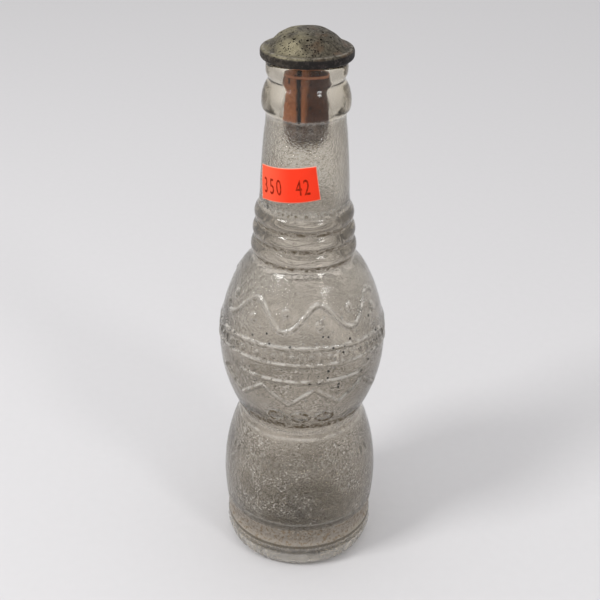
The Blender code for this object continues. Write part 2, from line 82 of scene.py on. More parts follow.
# Generic ornament raised on the belly, the same on its front and back, as on the CAD node
BELLY_RADIUS = 29.9 * MM
STROKE_RISE = 0.5 * MM
STROKE_HALF_WIDTH = 0.9 * MM
LINE_HEIGHTS = (93.4 * MM, 99.6 * MM)
LINE_DROOP = 2.2 * MM
WAVE_MIDDLE = 109.5 * MM
WAVE_SWING = 4.4 * MM
WAVE_LENGTH = 27.0 * MM
WAVE_REACH = 38.0 * MM
STUD_RADIUS = 2.0 * MM
STUD_SHIFT = 0.45 * WAVE_SWING
BAR_HEIGHT = 86.9 * MM
BAR_REACH = 24.0 * MM
ZIGZAG_MIDDLE = 80.2 * MM
ZIGZAG_SWING = 3.6 * MM
ZIGZAG_LENGTH = 19.0 * MM
ZIGZAG_REACH = 33.25 * MM
LOOP_MIDDLE = 70.2 * MM
LOOP_HALF_WIDTH = 3.4 * MM
LOOP_HALF_HEIGHT = 2.2 * MM
LOOP_PITCH = 9.6 * MM

# Finer ornament that only this script has, in the band, on the bulb and on the heel
BAND_PITCH = 3.3 * MM
BAND_RISE = 0.44 * MM
BAND_DASH_HALF_WIDTH = 0.75 * MM
BAND_DOT_RADIUS = 1.25 * MM
BULB_BAR_HEIGHT = 47.2 * MM
BULB_BAR_PITCH = 3.1 * MM
BULB_BAR_RISE = 0.32 * MM
BULB_BAR_HALF_WIDTH = 0.85 * MM
BULB_BAR_COUNT = 23
HEEL_COUNT = 56
HEEL_RADIUS = 28.0 * MM
HEEL_STUD_HEIGHT = 15.6 * MM
HEEL_STUD_RADIUS = 0.95 * MM
HEEL_RISE = 0.28 * MM
HEEL_RIB_RISE = 0.42 * MM

# The rose's rim, as on the CAD node, and its holes as circles of (radius, count)
ROSE_RIM_HEIGHT = 3.6 * MM
ROSE_TOP_ROUND = 1.2 * MM
ROSE_HOLES = ((0.0, 1), (5.4 * MM, 6), (8.4 * MM, 12))
HOLE_OUTER_RADIUS = 0.40 * MM
HOLE_INNER_RADIUS = 0.48 * MM
HOLE_PIN_LENGTH = 3.2 * MM

# The cork is worn outside this radius, and a pale line is painted round it at this height as a highlight, where
# the lip's edge bends light
CORK_WORN_RADIUS = 5 * MM
CORK_BRIGHT_LINE_HEIGHT = 187.7 * MM

# The label: the neck's radius behind its middle, and how its paper and its digits lie
NECK_MIDDLE_RADIUS = 14.9 * MM
PAPER_GAP = 0.04 * MM
PAPER_THICKNESS = 0.12 * MM
PAPER_COLUMNS = 72
PAPER_ROWS = 36
DIGIT_SIZE = 7.6 * MM
DIGIT_WIDTH_SHARE = 0.56
DIGIT_FOOT_SHARE = 0.22
DIGIT_GROUPS = (("350", (0.109, 0.250, 0.382)), ("42", (0.700, 0.818)))

# The stage, in metres and watts: each lamp is (name, place, size, power)
FLOOR_HALF_WIDTH = 20.0
LAMP_TARGET = Vector((0, 0, 0.1))
LAMPS = (
    ("key", (-0.75, -0.45, 0.95), 0.30, 8.0),
    ("fill", (0.55, -0.65, 0.70), 0.18, 2.0),
)


def smooth_step(low, high, value):
    """0 below low, 1 above high, and smooth between. It also runs backwards."""
    share = np.clip((value - low) / (high - low), 0.0, 1.0)
    return share * share * (3 - 2 * share)


def plateau(value, low, low_full, high_full, high):
    """1 from low_full to high_full, falling smoothly to 0 at low and at high."""
    return smooth_step(low, low_full, value) * smooth_step(high, high_full, value)


def stroke(distance, half_width):
    """The cross-section of a raised stroke: 1 on its middle, 0 from half_width on, with steep sides."""
    return smooth_step(half_width, 0.35 * half_width, np.abs(distance))


def repeated(across, pitch):
    """How far a place lies from the middle of its repeat, for repeats a pitch apart."""
    return (across + pitch / 2) % pitch - pitch / 2


def meridian(node, angle=0.0):
    """The outline (radius, height) of a turned CAD node, read where a half plane through its axis cuts it.
    It starts on the axis where the node has a point there, and runs all round otherwise."""
    along = Vector((math.cos(angle), math.sin(angle), 0))
    across = Vector((-math.sin(angle), math.cos(angle), 0))
    grid = 0.1 * TINY
    cut = bmesh.new()
    cut.from_mesh(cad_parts[node].data)
    parts = cut.verts[:] + cut.edges[:] + cut.faces[:]
    bmesh.ops.bisect_plane(cut, geom=parts, dist=grid, plane_co=(0, 0, 0), plane_no=across)
    links = {}
    for edge in cut.edges:
        ends = [vertex.co for vertex in edge.verts]
        if any(abs(end.dot(across)) > 2 * grid or end.dot(along) < -TINY for end in ends):
            continue
        first, second = ((round(end.dot(along) / grid), round(end.z / grid)) for end in ends)
        if first != second:
            links.setdefault(first, set()).add(second)
            links.setdefault(second, set()).add(first)
    cut.free()
    on_axis = [key for key in links if key[0] <= 1]
    if on_axis:
        start = min(on_axis, key=lambda key: key[1])
    else:
        start = max(links, key=lambda key: (key[1], key[0]))
    chain = [start]
    previous = None
    while True:
        onward = [key for key in links[chain[-1]] if key != previous and key != start]
        if not onward:
            break
        previous = chain[-1]
        chain.append(max(onward))
    points = np.array(chain, float) * grid
    points[:, 0] = np.maximum(points[:, 0], 0.0)
    return points


def lengths_along(points):
    """The distance of each point from the first, along the outline."""
    steps = np.hypot(*np.diff(points, axis=0).T)
    return np.concatenate([[0.0], np.cumsum(steps)])


def steps_between(start, end, spacing):
    """How many steps of about spacing lead from start to end."""
    return max(1, round(float(np.hypot(*(end - start))) / spacing))


def blend(first, second, low, high, place):
    """The point at place on the line on which first lies at low and second at high."""
    return (first * (high - place) + second * (place - low)) / (high - low)


def curved(points, spacing):
    """A smooth curve (centripetal Catmull-Rom) through the points, sampled about every spacing."""
    padded = np.vstack([2 * points[0] - points[1], points, 2 * points[-1] - points[-2]])
    made = []
    for index in range(1, len(padded) - 2):
        quad = padded[index - 1 : index + 3]
        knots = np.concatenate([[0.0], np.cumsum(np.hypot(*np.diff(quad, axis=0).T) ** 0.5)])
        count = steps_between(quad[1], quad[2], spacing)
        for place in knots[1] + (knots[2] - knots[1]) * np.arange(count) / count:
            sides = [blend(quad[k], quad[k + 1], knots[k], knots[k + 1], place) for k in range(3)]
            arcs = [blend(sides[k], sides[k + 1], knots[k], knots[k + 2], place) for k in range(2)]
            made.append(blend(arcs[0], arcs[1], knots[1], knots[2], place))
    made.append(points[-1])
    return np.array(made)


def straight(points, spacing):
    """The outline with points added on its straight stretches."""
    made = []
    for start, end in zip(points[:-1], points[1:]):
        count = steps_between(start, end, spacing)
        made += [start + (end - start) * step / count for step in range(count)]
    made.append(points[-1])
    return np.array(made)


def softened(points, times, closed=False):
    """The outline with its corners worn round by averaging. The ends of an open one stay."""
    result = points.copy()
    for _ in range(times):
        if closed:
            result = (np.roll(result, 1, axis=0) + 2 * result + np.roll(result, -1, axis=0)) / 4
        else:
            result[1:-1] = (result[:-2] + 2 * result[1:-1] + result[2:]) / 4
    return result


def stations(fine, spacing_of):
    """The outline's points again, as far apart as spacing_of says."""
    along = lengths_along(fine)
    density = np.array([1 / spacing_of(k) for k in range(len(fine))])
    count = np.concatenate([[0.0], np.cumsum(np.diff(along) * (density[1:] + density[:-1]) / 2)])
    wanted = np.linspace(0, count[-1], round(float(count[-1])) + 1)
    place = np.interp(wanted, count, along)
    return np.stack([np.interp(place, along, fine[:, k]) for k in (0, 1)], axis=1)


def worn_loop(node, fineness, times, spacing):
    """The closed outline of a CAD node, its corners worn round, as points about spacing apart."""
    outline = meridian(node)
    fine = softened(straight(np.vstack([outline, outline[:1]]), fineness)[:-1], times, closed=True)
    looped = np.vstack([fine, fine[:1]])
    along = lengths_along(looped)
    wanted = np.linspace(0, along[-1], round(float(along[-1] / spacing)), endpoint=False)
    return np.stack([np.interp(wanted, along, looped[:, k]) for k in (0, 1)], axis=1)


def outward(points):
    """The unit normals to the right of the outline's direction, seen with the radius to the right."""
    tangent = np.gradient(points, axis=0)
    normal = np.stack([tangent[:, 1], -tangent[:, 0]], axis=1)
    return normal / np.maximum(np.hypot(*normal.T), 1e-12)[:, None]


def side_angles(sides):
    """The angles of a ring's sides: 0 faces the camera, and positive ones lie to its right."""
    return np.linspace(-math.pi, math.pi, sides, endpoint=False)


def ring_grids(points, sides):
    """The radius and the height of each side of each ring, as two (rings, sides) arrays."""
    return [np.repeat(points[:, k : k + 1], sides, axis=1) for k in (0, 1)]


def place_at(radius, angle, height):
    """The x, y and z of a place at a radius, an angle from the front and a height."""
    return radius * math.sin(angle), -radius * math.cos(angle), height


def noise_over(points, angles, size, squash=1.0, shift=(0, 0, 0)):
    """Noise with lumps about size across at each place on the rings, taller ones by a squash below 1."""
    away = Vector(shift)
    return np.array([
        [noise.noise(Vector(place_at(radius, angle, height * squash)) / size + away) for angle in angles]
        for radius, height in points
    ])


def new_mesh(name, places, faces):
    """A smooth mesh of places and faces."""
    mesh = bpy.data.meshes.new(name)
    mesh.from_pydata(places, [], faces)
    mesh.shade_smooth()
    return mesh


def turned_mesh(name, radii, heights):
    """A mesh of rings, from their (rings, sides) arrays of radii and heights.
    A ring on the axis becomes one point, and an outline without one closes on itself."""
    rings, sides = radii.shape
    angles = side_angles(sides)
    xs = radii * np.sin(angles)
    ys = -radii * np.cos(angles)
    on_axis = [radii[ring].max() < TINY for ring in range(rings)]
    vertices = []
    first = []
    for ring in range(rings):
        first.append(len(vertices))
        if on_axis[ring]:
            vertices.append((0.0, 0.0, heights[ring].mean()))
        else:
            vertices += list(zip(xs[ring], ys[ring], heights[ring]))
    faces = []
    for ring in range(rings - 1 if on_axis[0] else rings):
        after = (ring + 1) % rings
        here, there = first[ring], first[after]
        for side in range(sides):
            turn = (side + 1) % sides
            if on_axis[ring]:
                faces.append((here, there + turn, there + side))
            elif on_axis[after]:
                faces.append((here + side, here + turn, there))
            else:
                faces.append((here + side, here + turn, there + turn, there + side))
    return new_mesh(name, vertices, faces)


def paint(mesh, radii, **masks):
    """Keeps each mask, with a value for each place on the rings, as an attribute of the mesh."""
    for name, values in masks.items():
        flat = []
        for ring, row in enumerate(np.broadcast_to(values, radii.shape)):
            flat += list(row[:1]) if radii[ring].max() < TINY else list(row)
        mesh.attributes.new(name, "FLOAT", "POINT").data.foreach_set("value", np.array(flat, np.float32))


def new_object(name, data):
    """A new object in the scene."""
    made = bpy.data.objects.new(name, data)
    bpy.context.scene.collection.objects.link(made)
    return made


def put(name, mesh, surface, body, node):
    """The mesh as a piece that rides on a body and stands for a CAD node."""
    mesh.materials.append(surface)
    piece = new_object(name, mesh)
    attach(piece, body)
    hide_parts(node)
    return piece


class Look:
    """The node tree of a material or the world, with short ways to add nodes."""

    def __init__(self, owner):
        owner.use_nodes = True
        self.owner = owner
        self.tree = owner.node_tree
        self.places = self.tree.nodes.new("ShaderNodeTexCoord").outputs

    def link(self, source, target):
        """Feeds an input from another node, or sets it to a value."""
        if isinstance(source, bpy.types.NodeSocket):
            self.tree.links.new(source, target)
        else:
            target.default_value = source

    def node(self, kind, **inputs):
        """A new node with its inputs by name."""
        made = self.tree.nodes.new(kind)
        for name, value in inputs.items():
            self.link(value, made.inputs[name.replace("_", " ")])
        return made

    def squashed(self, share):
        """The object's coordinates, which make a pattern taller by a share below 1."""
        made = self.node("ShaderNodeMapping", Vector=self.places["Object"], Scale=(1.0, 1.0, share))
        return made.outputs["Vector"]

    def noise(self, size, detail=3.0, roughness=0.5, vector=None):
        """Noise whose grains are about size across, 0 to 1."""
        where = vector or self.places["Object"]
        made = self.node("ShaderNodeTexNoise", Vector=where, Scale=1 / size, Detail=detail, Roughness=roughness)
        return made.outputs["Fac"]

    def cells(self, size, vector=None):
        """Cells about size across: the distance to the nearest middle, in cell sizes."""
        made = self.node("ShaderNodeTexVoronoi", Vector=vector or self.places["Object"], Scale=1 / size)
        return made.outputs["Distance"]

    def along(self, axis):
        """How far along an axis of the object a point lies."""
        return self.node("ShaderNodeSeparateXYZ", Vector=self.places["Object"]).outputs[axis]

    def mask(self, name):
        """A mask of the mesh."""
        made = self.node("ShaderNodeAttribute")
        made.attribute_name = name
        return made.outputs["Fac"]

    def math(self, operation, first, second=0.0, clamp=False):
        made = self.node("ShaderNodeMath")
        made.operation = operation
        made.use_clamp = clamp
        self.link(first, made.inputs[0])
        self.link(second, made.inputs[1])
        return made.outputs[0]

    def times(self, first, second, clamp=False):
        return self.math("MULTIPLY", first, second, clamp)

    def plus(self, first, second):
        return self.math("ADD", first, second)

    def minus(self, first, second, clamp=False):
        return self.math("SUBTRACT", first, second, clamp)

    def distance(self, first, second):
        return self.math("ABSOLUTE", self.minus(first, second))

    def largest(self, first, *others):
        for other in others:
            first = self.math("MAXIMUM", first, other)
        return first

    def ramp(self, value, low, high, new_low=0.0, new_high=1.0):
        """The value carried smoothly from low..high to new_low..new_high, and clamped."""
        made = self.node("ShaderNodeMapRange", Value=value, From_Min=low, From_Max=high)
        made.inputs["To Min"].default_value = new_low
        made.inputs["To Max"].default_value = new_high
        made.interpolation_type = "SMOOTHSTEP"
        return made.outputs["Result"]

    def mix(self, share, first, second):
        """The first colour at share 0 and the second at share 1."""
        made = self.node("ShaderNodeMix", Factor=share)
        made.data_type = "RGBA"
        for socket, colour in ((made.inputs[6], first), (made.inputs[7], second)):
            self.link((*colour, 1.0) if isinstance(colour, tuple) else colour, socket)
        return made.outputs[2]

    def layer(self, base, share, colour, most=1.0):
        """The base colour with another laid over it, by most where the share is 1."""
        return self.mix(self.times(share, most), base, colour)

    def gradient(self, value, low, high, top):
        """A colour that runs from low, where the value is 0, to high, where it is top."""
        made = self.node("ShaderNodeValToRGB", Fac=value)
        for element, place, colour in zip(made.color_ramp.elements, (0.0, top), (low, high)):
            element.position = place
            element.color = (*colour, 1)
        return made.outputs["Color"]

    def bump(self, height, distance, strength=1.0, below=None):
        """A bumped normal. distance is how high a height of 1 stands."""
        made = self.node("ShaderNodeBump", Height=height, Distance=distance, Strength=strength)
        if below is not None:
            self.link(below, made.inputs["Normal"])
        return made.outputs["Normal"]

    def absorb(self, colour, density):
        """Takes light out on its way through the solid, as tinted glass does."""
        volume = self.node("ShaderNodeVolumeAbsorption", Color=(*colour, 1.0), Density=density)
        self.set("Material Output", Volume=volume.outputs["Volume"])

    def set(self, node="Principled BSDF", **inputs):
        """Sets the inputs of a node that the tree came with, and gives back its owner."""
        for name, value in inputs.items():
            self.link(value, self.tree.nodes[node].inputs[name.replace("_", " ")])
        return self.owner


def new_look(name):
    """The look of a new material."""
    return Look(bpy.data.materials.new(name))


def glass_marks(look):
    """Where the glass shows its pits and dirt, and where its painted glints, highlights and shade lie: its
    mesh's masks, broken up by noise.
    """
    grain = look.noise(0.80 * MM, detail=2.0, roughness=0.6, vector=look.squashed(1.4))
    flat = look.minus(1.0, look.times(look.mask("raised"), 0.85))
    ground = look.times(look.mask("stipple"), flat)
    patchiness = look.ramp(look.noise(2.2 * MM), 0.34, 0.56, 0.25, 1.0)
    shade_breakup = look.ramp(look.noise(1.4 * MM), 0.32, 0.56, 0.3, 1.0)
    pit_groups = look.times(look.ramp(look.noise(9 * MM, detail=1.0), 0.43, 0.54), look.mask("pitted"))
    pits = look.times(look.ramp(look.cells(2.6 * MM), 0.23, 0.16), pit_groups)
    patches = look.ramp(look.noise(1.3 * MM, detail=4.0, roughness=0.65), 0.36, 0.62)
    high_up = look.ramp(look.along("Z"), BULB_BOTTOM + 10 * MM, BULB_TOP - 10 * MM)
    even = look.minus(0.55, look.times(high_up, 0.55))
    # Grime, with the painted shade at the waist
    grime = look.times(look.mask("grime"), look.largest(patches, even), clamp=True)
    # Painted shade low on the front and in the middle of the floor, and the tide mark inside
    residue_and_painted_shade = look.times(look.mask("residue_and_painted_shade"), look.ramp(look.noise(1.1 * MM), 0.24, 0.42))
    off_line = look.distance(look.along("Z"), HEEL_LINE_HEIGHT)
    return SimpleNamespace(
        grain=grain,
        flat=flat,
        ground=ground,
        swell=look.noise(6 * MM, detail=1.0),
        # The palest grains carry painted glints
        painted_glints=look.times(look.ramp(grain, 0.56, 0.66), ground),
        dark_grain=look.times(look.ramp(grain, 0.42, 0.33), ground),
        # Painted highlight on the flanks that face the light, and painted shade on those that face away, both
        # in patches
        worn=look.times(look.mask("painted_highlight_side"), patchiness),
        painted_shade=look.times(look.mask("painted_shade_side"), shade_breakup),
        high_up=high_up,
        grime=grime,
        residue_and_painted_shade=residue_and_painted_shade,
        heel_line=look.times(look.ramp(off_line, 0.8 * MM, 0.3 * MM), look.mask("outside")),
        pits=pits,
        opaque=look.largest(grime, pits, residue_and_painted_shade),
    )


def glass_colour(look, marks):
    """The tint of the glass, with its grains, painted glints, highlights and shade, and its dirt laid over it
    in turn.
    """
    clean = look.mix(look.mask("outside"), (0.985, 0.975, 0.955), (0.925, 0.89, 0.83))
    # The grains' pale and dark tints are painted light and shade, standing for what the stippled glass would
    # refract
    grains = look.ramp(marks.grain, 0.36, 0.64)
    stippled = look.mix(grains, (0.58, 0.53, 0.45), (0.99, 0.965, 0.91))
    dulled = look.mix(grains, (0.30, 0.265, 0.22), (0.86, 0.81, 0.74))
    tint = look.mix(marks.ground, clean, stippled)
    # The film's dull grey-brown tint, partly painted shade low on the glass
    colour = look.mix(look.mask("film"), tint, look.mix(marks.ground, (0.52, 0.475, 0.415), dulled))
    heel_grime = look.mix(marks.grain, (0.088, 0.054, 0.022), (0.24, 0.155, 0.072))
    # The darker grime colour also paints the shade at the waist
    groove_grime_and_shade = look.mix(marks.grain, (0.035, 0.025, 0.012), (0.15, 0.11, 0.06))
    for share, over, most in (
        # Painted glints on the palest grains, then the dark grains
        (marks.painted_glints, (0.95, 0.92, 0.86), 0.8),
        (marks.dark_grain, (0.20, 0.17, 0.125), 0.75),
        # Painted highlight and painted shade on the ornament's flanks
        (marks.worn, (0.90, 0.87, 0.81), 0.85),
        (marks.painted_shade, (0.13, 0.105, 0.075), 0.9),
        # Grime, and the painted shade at the waist
        (marks.grime, look.mix(marks.high_up, heel_grime, groove_grime_and_shade), 1.0),
        # Painted shade low on the front and in the middle of the floor, and the tide mark inside
        (marks.residue_and_painted_shade, (0.038, 0.029, 0.017), 1.0),
        (marks.heel_line, (0.060, 0.045, 0.022), 0.8),
        (marks.pits, (0.012, 0.010, 0.008), 1.0),
    ):
        colour = look.layer(colour, share, over, most)
    return colour


def glass_haze(look, marks):
    """The share of the light that the glass scatters instead of letting it through."""
    cloud = look.ramp(look.noise(11 * MM, detail=2.0), 0.36, 0.62)
    cloudy = look.times(marks.ground, look.times(cloud, 0.06))
    # The painted glints also scatter light, more under the film
    sparkle = look.plus(0.19, look.times(look.mask("film"), 0.14))
    grains = look.plus(cloudy, look.times(marks.painted_glints, sparkle))
    return look.largest(
        look.plus(grains, look.times(marks.dark_grain, 0.20)),
        look.times(look.mask("veil"), look.ramp(marks.swell, 0.3, 0.7, 0.7, 1.0)),
        # The painted highlight and painted shade on the flanks also scatter light
        look.times(marks.worn, 0.34),
        look.times(marks.painted_shade, 0.56),
        look.times(marks.heel_line, 0.7),
        marks.opaque,
    )


def glass_material():
    """Clear old glass: stippled where its mould was, its ornament painted with highlights on the flanks that
    face the light and with shade on those that face away.
    """
    look = new_look("old_glass")
    marks = glass_marks(look)
    stipple = look.mask("stipple")
    look.absorb((0.80, 0.76, 0.66), 72.0)
    hammered = look.times(look.times(stipple, 1.2, clamp=True), marks.flat)
    fine = look.bump(marks.grain, 0.45 * MM, strength=hammered)
    rough = look.plus(look.times(marks.opaque, 0.55), look.times(stipple, 0.04))
    return look.set(
        Base_Color=glass_colour(look, marks),
        Transmission_Weight=look.minus(1.0, glass_haze(look, marks), clamp=True),
        Roughness=look.plus(rough, 0.03),
        IOR=1.51,
        Specular_Tint=(0.5, 0.5, 0.5, 1.0),
        Normal=look.bump(marks.swell, 0.35 * MM, strength=0.5, below=fine),
    )


def rose_material():
    """Plated brass gone grey-green, mottled and pitted, and nearly black on its skirt. A sheen is painted on
    its left and a highlight along its rim's crest, and its skirt is painted darker on its right as shade.
    """
    look = new_look("tarnished_rose")
    skirt = look.mask("skirt")
    across = look.along("X")
    mottle = look.noise(1.5 * MM, detail=6.0, roughness=0.72)
    cloud = look.noise(7 * MM, detail=2.0)
    # A painted sheen on the left, where the lamps fall
    sheen = look.times(look.ramp(cloud, 0.36, 0.58), look.ramp(across, 3 * MM, -4 * MM))
    brown = look.times(look.ramp(cloud, 0.50, 0.38), look.ramp(across, -2 * MM, 4 * MM))
    # The skirt's right is painted darker than its left, as shade away from the lamps
    right_dark = look.mix(look.ramp(mottle, 0.52, 0.70), (0.005, 0.0033, 0.0033), (0.050, 0.037, 0.034))
    left_dark = look.mix(look.ramp(mottle, 0.42, 0.62), (0.017, 0.012, 0.008), (0.062, 0.049, 0.037))
    dark = look.mix(look.ramp(across, 0.0, -12 * MM), right_dark, left_dark)
    pit_groups = look.ramp(look.noise(3 * MM), 0.37, 0.50)
    pits = look.times(look.ramp(look.cells(0.80 * MM), 0.38, 0.20), pit_groups)
    # A highlight painted along the rim's crest, broken by the mottle
    worn = look.times(look.mask("worn_edge"), look.ramp(mottle, 0.38, 0.60, 0.05, 0.7))

    base = look.mix(look.ramp(mottle, 0.36, 0.64), (0.046, 0.039, 0.028), (0.150, 0.132, 0.098))
    # The painted sheen on the left
    base = look.layer(base, sheen, (0.33, 0.295, 0.190), 0.55)
    base = look.layer(base, brown, (0.15, 0.092, 0.055), 0.5)
    base = look.layer(base, skirt, dark, 0.97)
    base = look.layer(base, pits, (0.010, 0.008, 0.007), 0.9)
    # The painted highlight on the crest
    base = look.layer(base, worn, (0.36, 0.33, 0.28))
    grain = look.noise(0.35 * MM, detail=4.0, roughness=0.7)
    relief = look.minus(look.times(grain, 0.35), pits)
    return look.set(
        Base_Color=base,
        Metallic=look.minus(0.75, look.times(skirt, 0.60)),
        Roughness=look.ramp(mottle, 0.30, 0.70, 0.60, 0.42),
        Specular_IOR_Level=0.28,
        Normal=look.bump(relief, 0.16 * MM, below=look.bump(mottle, 0.30 * MM, strength=0.7)),
    )


def plain_metal(name, light, dark, roughness):
    """Dull metal with stains, for the pieces inside."""
    look = new_look(name)
    stain = look.noise(3 * MM, detail=5.0, roughness=0.6)
    grain = look.noise(0.4 * MM, detail=3.0)
    return look.set(
        Base_Color=look.mix(look.ramp(stain, 0.35, 0.65), dark, light),
        Metallic=0.9,
        Roughness=look.ramp(stain, 0.3, 0.7, roughness + 0.15, roughness),
        Normal=look.bump(grain, 0.05 * MM, strength=0.5, below=look.bump(stain, 0.15 * MM, strength=0.5)),
    )


def cork_material():
    """Old cork: copper-brown on its left and nearly black on its right, partly stain and partly painted shade
    away from the light. Its top under the cap is painted darker as shade, its foot is dark with rot, and a pale
    line is painted where the lip's edge bends light.
    """
    look = new_look("old_cork")
    streaks = look.noise(4 * MM, detail=5.0, roughness=0.62, vector=look.squashed(0.22))
    grain = look.noise(0.9 * MM, detail=4.0, roughness=0.6)
    wavy = look.plus(look.along("X"), look.times(look.minus(streaks, 0.5), 3.5 * MM))
    grainy = look.plus(wavy, look.times(look.minus(grain, 0.5), 2.5 * MM))
    pore_cells = look.cells(1.7 * MM, vector=look.squashed(0.6))
    pores = look.times(look.ramp(pore_cells, 0.30, 0.18), look.ramp(grain, 0.40, 0.55))
    rot = look.ramp(look.noise(1.8 * MM, detail=4.0, roughness=0.7), 0.40, 0.60)
    rotten = look.mix(rot, (0.030, 0.020, 0.017), look.mix(grain, (0.14, 0.075, 0.050), (0.30, 0.26, 0.23)))
    off_dark_streak = look.distance(wavy, -2.1 * MM)
    off_bright_line = look.distance(look.along("Z"), CORK_BRIGHT_LINE_HEIGHT)

    warm = look.mix(grain, (0.17, 0.052, 0.019), (0.66, 0.27, 0.125))
    # Dark stain, and painted shade towards the right, away from the light
    stain_and_shade = look.mix(grain, (0.007, 0.003, 0.002), (0.080, 0.024, 0.011))
    base = look.mix(look.ramp(grainy, -1.2 * MM, 1.2 * MM, 0.0, 0.90), warm, stain_and_shade)
    # A dark upright streak down the cork
    base = look.layer(base, look.ramp(off_dark_streak, 0.80 * MM, 0.30 * MM), (0.012, 0.009, 0.010))
    base = look.layer(base, pores, (0.018, 0.010, 0.007), 0.9)
    base = look.layer(base, look.mask("foot"), rotten, 0.90)
    # Painted shade at the cork's top, under the cap
    base = look.layer(base, look.mask("head"), (0.018, 0.011, 0.010), 0.30)
    # A painted highlight: a pale line where the lip's edge bends light
    base = look.layer(base, look.ramp(off_bright_line, 0.50 * MM, 0.20 * MM, 0.0, 0.75), (0.62, 0.25, 0.13))
    relief = look.minus(look.times(grain, 0.5), pores)
    return look.set(
        Base_Color=base,
        Roughness=0.72,
        Specular_IOR_Level=0.2,
        Normal=look.bump(relief, 0.3 * MM, strength=0.9),
    )


def paper_material():
    """Orange-red label paper, paler towards its left end, with faint fibres and pale cut edges."""
    look = new_look("orange_paper")
    fibres = look.noise(0.5 * MM, detail=5.0, roughness=0.7, vector=look.squashed(0.5))
    fade = look.ramp(look.along("X"), -4 * MM, -14 * MM)
    base = look.mix(fade, (0.90, 0.038, 0.008), (0.90, 0.105, 0.045))
    base = look.layer(base, look.ramp(fibres, 0.55, 0.80), (0.95, 0.16, 0.07), 0.20)
    base = look.layer(base, look.mask("cut"), (0.95, 0.42, 0.30))
    return look.set(
        Base_Color=base,
        Roughness=0.75,
        Specular_IOR_Level=0.25,
        Normal=look.bump(fibres, 0.04 * MM, strength=0.6),
    )


def ink_material():
    """Thin dark red-brown stamping ink, worn pale in places."""
    look = new_look("stamp_ink")
    patchiness = look.noise(0.8 * MM, detail=4.0, roughness=0.7)
    return look.set(
        Base_Color=look.mix(look.ramp(patchiness, 0.42, 0.68), (0.22, 0.012, 0.002), (0.50, 0.024, 0.005)),
        Roughness=0.8,
        Specular_IOR_Level=0.1,
    )


def glass_outline():
    """The glass's smooth outline from the CAD node, without the raised lines that cross it."""
    knots = meridian("bottle")
    reach = STROKE_HALF_WIDTH + 0.4 * MM
    for height in LINE_HEIGHTS:
        on_line = abs(knots[:, 1] - (height - LINE_DROOP)) < reach
        knots = knots[~(on_line & (knots[:, 0] > BELLY_RADIUS - 3 * MM))]
    fine = softened(curved(straight(knots, 12 * MM), 0.1 * MM), 12)
    low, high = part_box("bottle")
    fine[:, 1] = np.clip(fine[:, 1], low.z, high.z)
    fine[:, 0] = np.maximum(fine[:, 0], 0.0)
    return fine


def ring_spacing(height, radius, inside):
    """How far apart the rings of the mesh lie at a place on the glass."""
    if inside:
        if height > GLASS_TOP - 2 * MM:
            return 0.7 * MM
        on_floor = radius < 9 * MM and height < 20 * MM
        return 1.0 * MM if on_floor else 3.4 * MM
    if height < FOOT_EDGE and radius < PUSH_UP_RADIUS:
        return 2.4 * MM
    for top, spacing in (
        (BULB_BOTTOM + 5 * MM, 0.62),
        (BULB_TOP - 6 * MM, 0.80),
        (RINGS_BOTTOM, 0.50),
        (RINGS_TOP, 0.42),
        (NECK_TOP - 1 * MM, 2.0),
    ):
        if height < top:
            return spacing * MM
    return 0.5 * MM


def from_nearer_side(angles):
    """The angle from the front, or behind from the back: both carry the same ornament."""
    return np.where(np.abs(angles) > math.pi / 2, angles - np.sign(angles) * math.pi, angles)


def line_droop(angles):
    """How much lower the lines round the belly lie at an angle than on the front and back."""
    return LINE_DROOP * (1 - np.cos(from_nearer_side(angles)))


def above_band(angles, heights):
    """How far a place lies above the middle of the band between the two lines."""
    return heights + line_droop(angles) - (LINE_HEIGHTS[0] + LINE_HEIGHTS[1]) / 2


def belly_relief(angles, heights):
    """The lines, the wave with its studs, the bar, the zigzag and the loops: 1 on their tops."""
    across = from_nearer_side(angles) * BELLY_RADIUS
    reach = np.abs(across)
    half = STROKE_HALF_WIDTH
    lines = [stroke(heights - (level - line_droop(angles)), half) for level in LINE_HEIGHTS]

    turn = 2 * math.pi / WAVE_LENGTH
    steepness = np.hypot(1.0, WAVE_SWING * turn * np.cos(turn * across))
    wave = stroke((heights - WAVE_MIDDLE - WAVE_SWING * np.sin(turn * across)) / steepness, half)
    bight = repeated(across - WAVE_LENGTH / 4, WAVE_LENGTH / 2)
    crest = np.sin(turn * (across - bight))
    studs = stroke(np.hypot(bight, heights - WAVE_MIDDLE + STUD_SHIFT * crest), STUD_RADIUS)

    bar = stroke(heights - BAR_HEIGHT, half) * (reach < BAR_REACH)
    saw = 1 - 4 * np.abs(repeated(across - ZIGZAG_LENGTH / 4, ZIGZAG_LENGTH)) / ZIGZAG_LENGTH
    steepness = math.hypot(1.0, 4 * ZIGZAG_SWING / ZIGZAG_LENGTH)
    zigzag = stroke((heights - ZIGZAG_MIDDLE - ZIGZAG_SWING * saw) / steepness, half)
    zigzag = zigzag * (reach < ZIGZAG_REACH + half)

    loops = []
    for place in (-1, 0, 1):
        wide = (across - place * LOOP_PITCH) / LOOP_HALF_WIDTH
        tall = (heights - LOOP_MIDDLE) / LOOP_HALF_HEIGHT
        away = np.hypot(wide, tall)
        size = np.hypot(wide * LOOP_HALF_WIDTH, tall * LOOP_HALF_HEIGHT) / np.maximum(away, TINY)
        loops.append(stroke((away - 1) * size, half))
    on_wave = reach < WAVE_REACH
    return np.maximum.reduce([*lines, wave * on_wave, studs * on_wave, bar, zigzag, *loops])


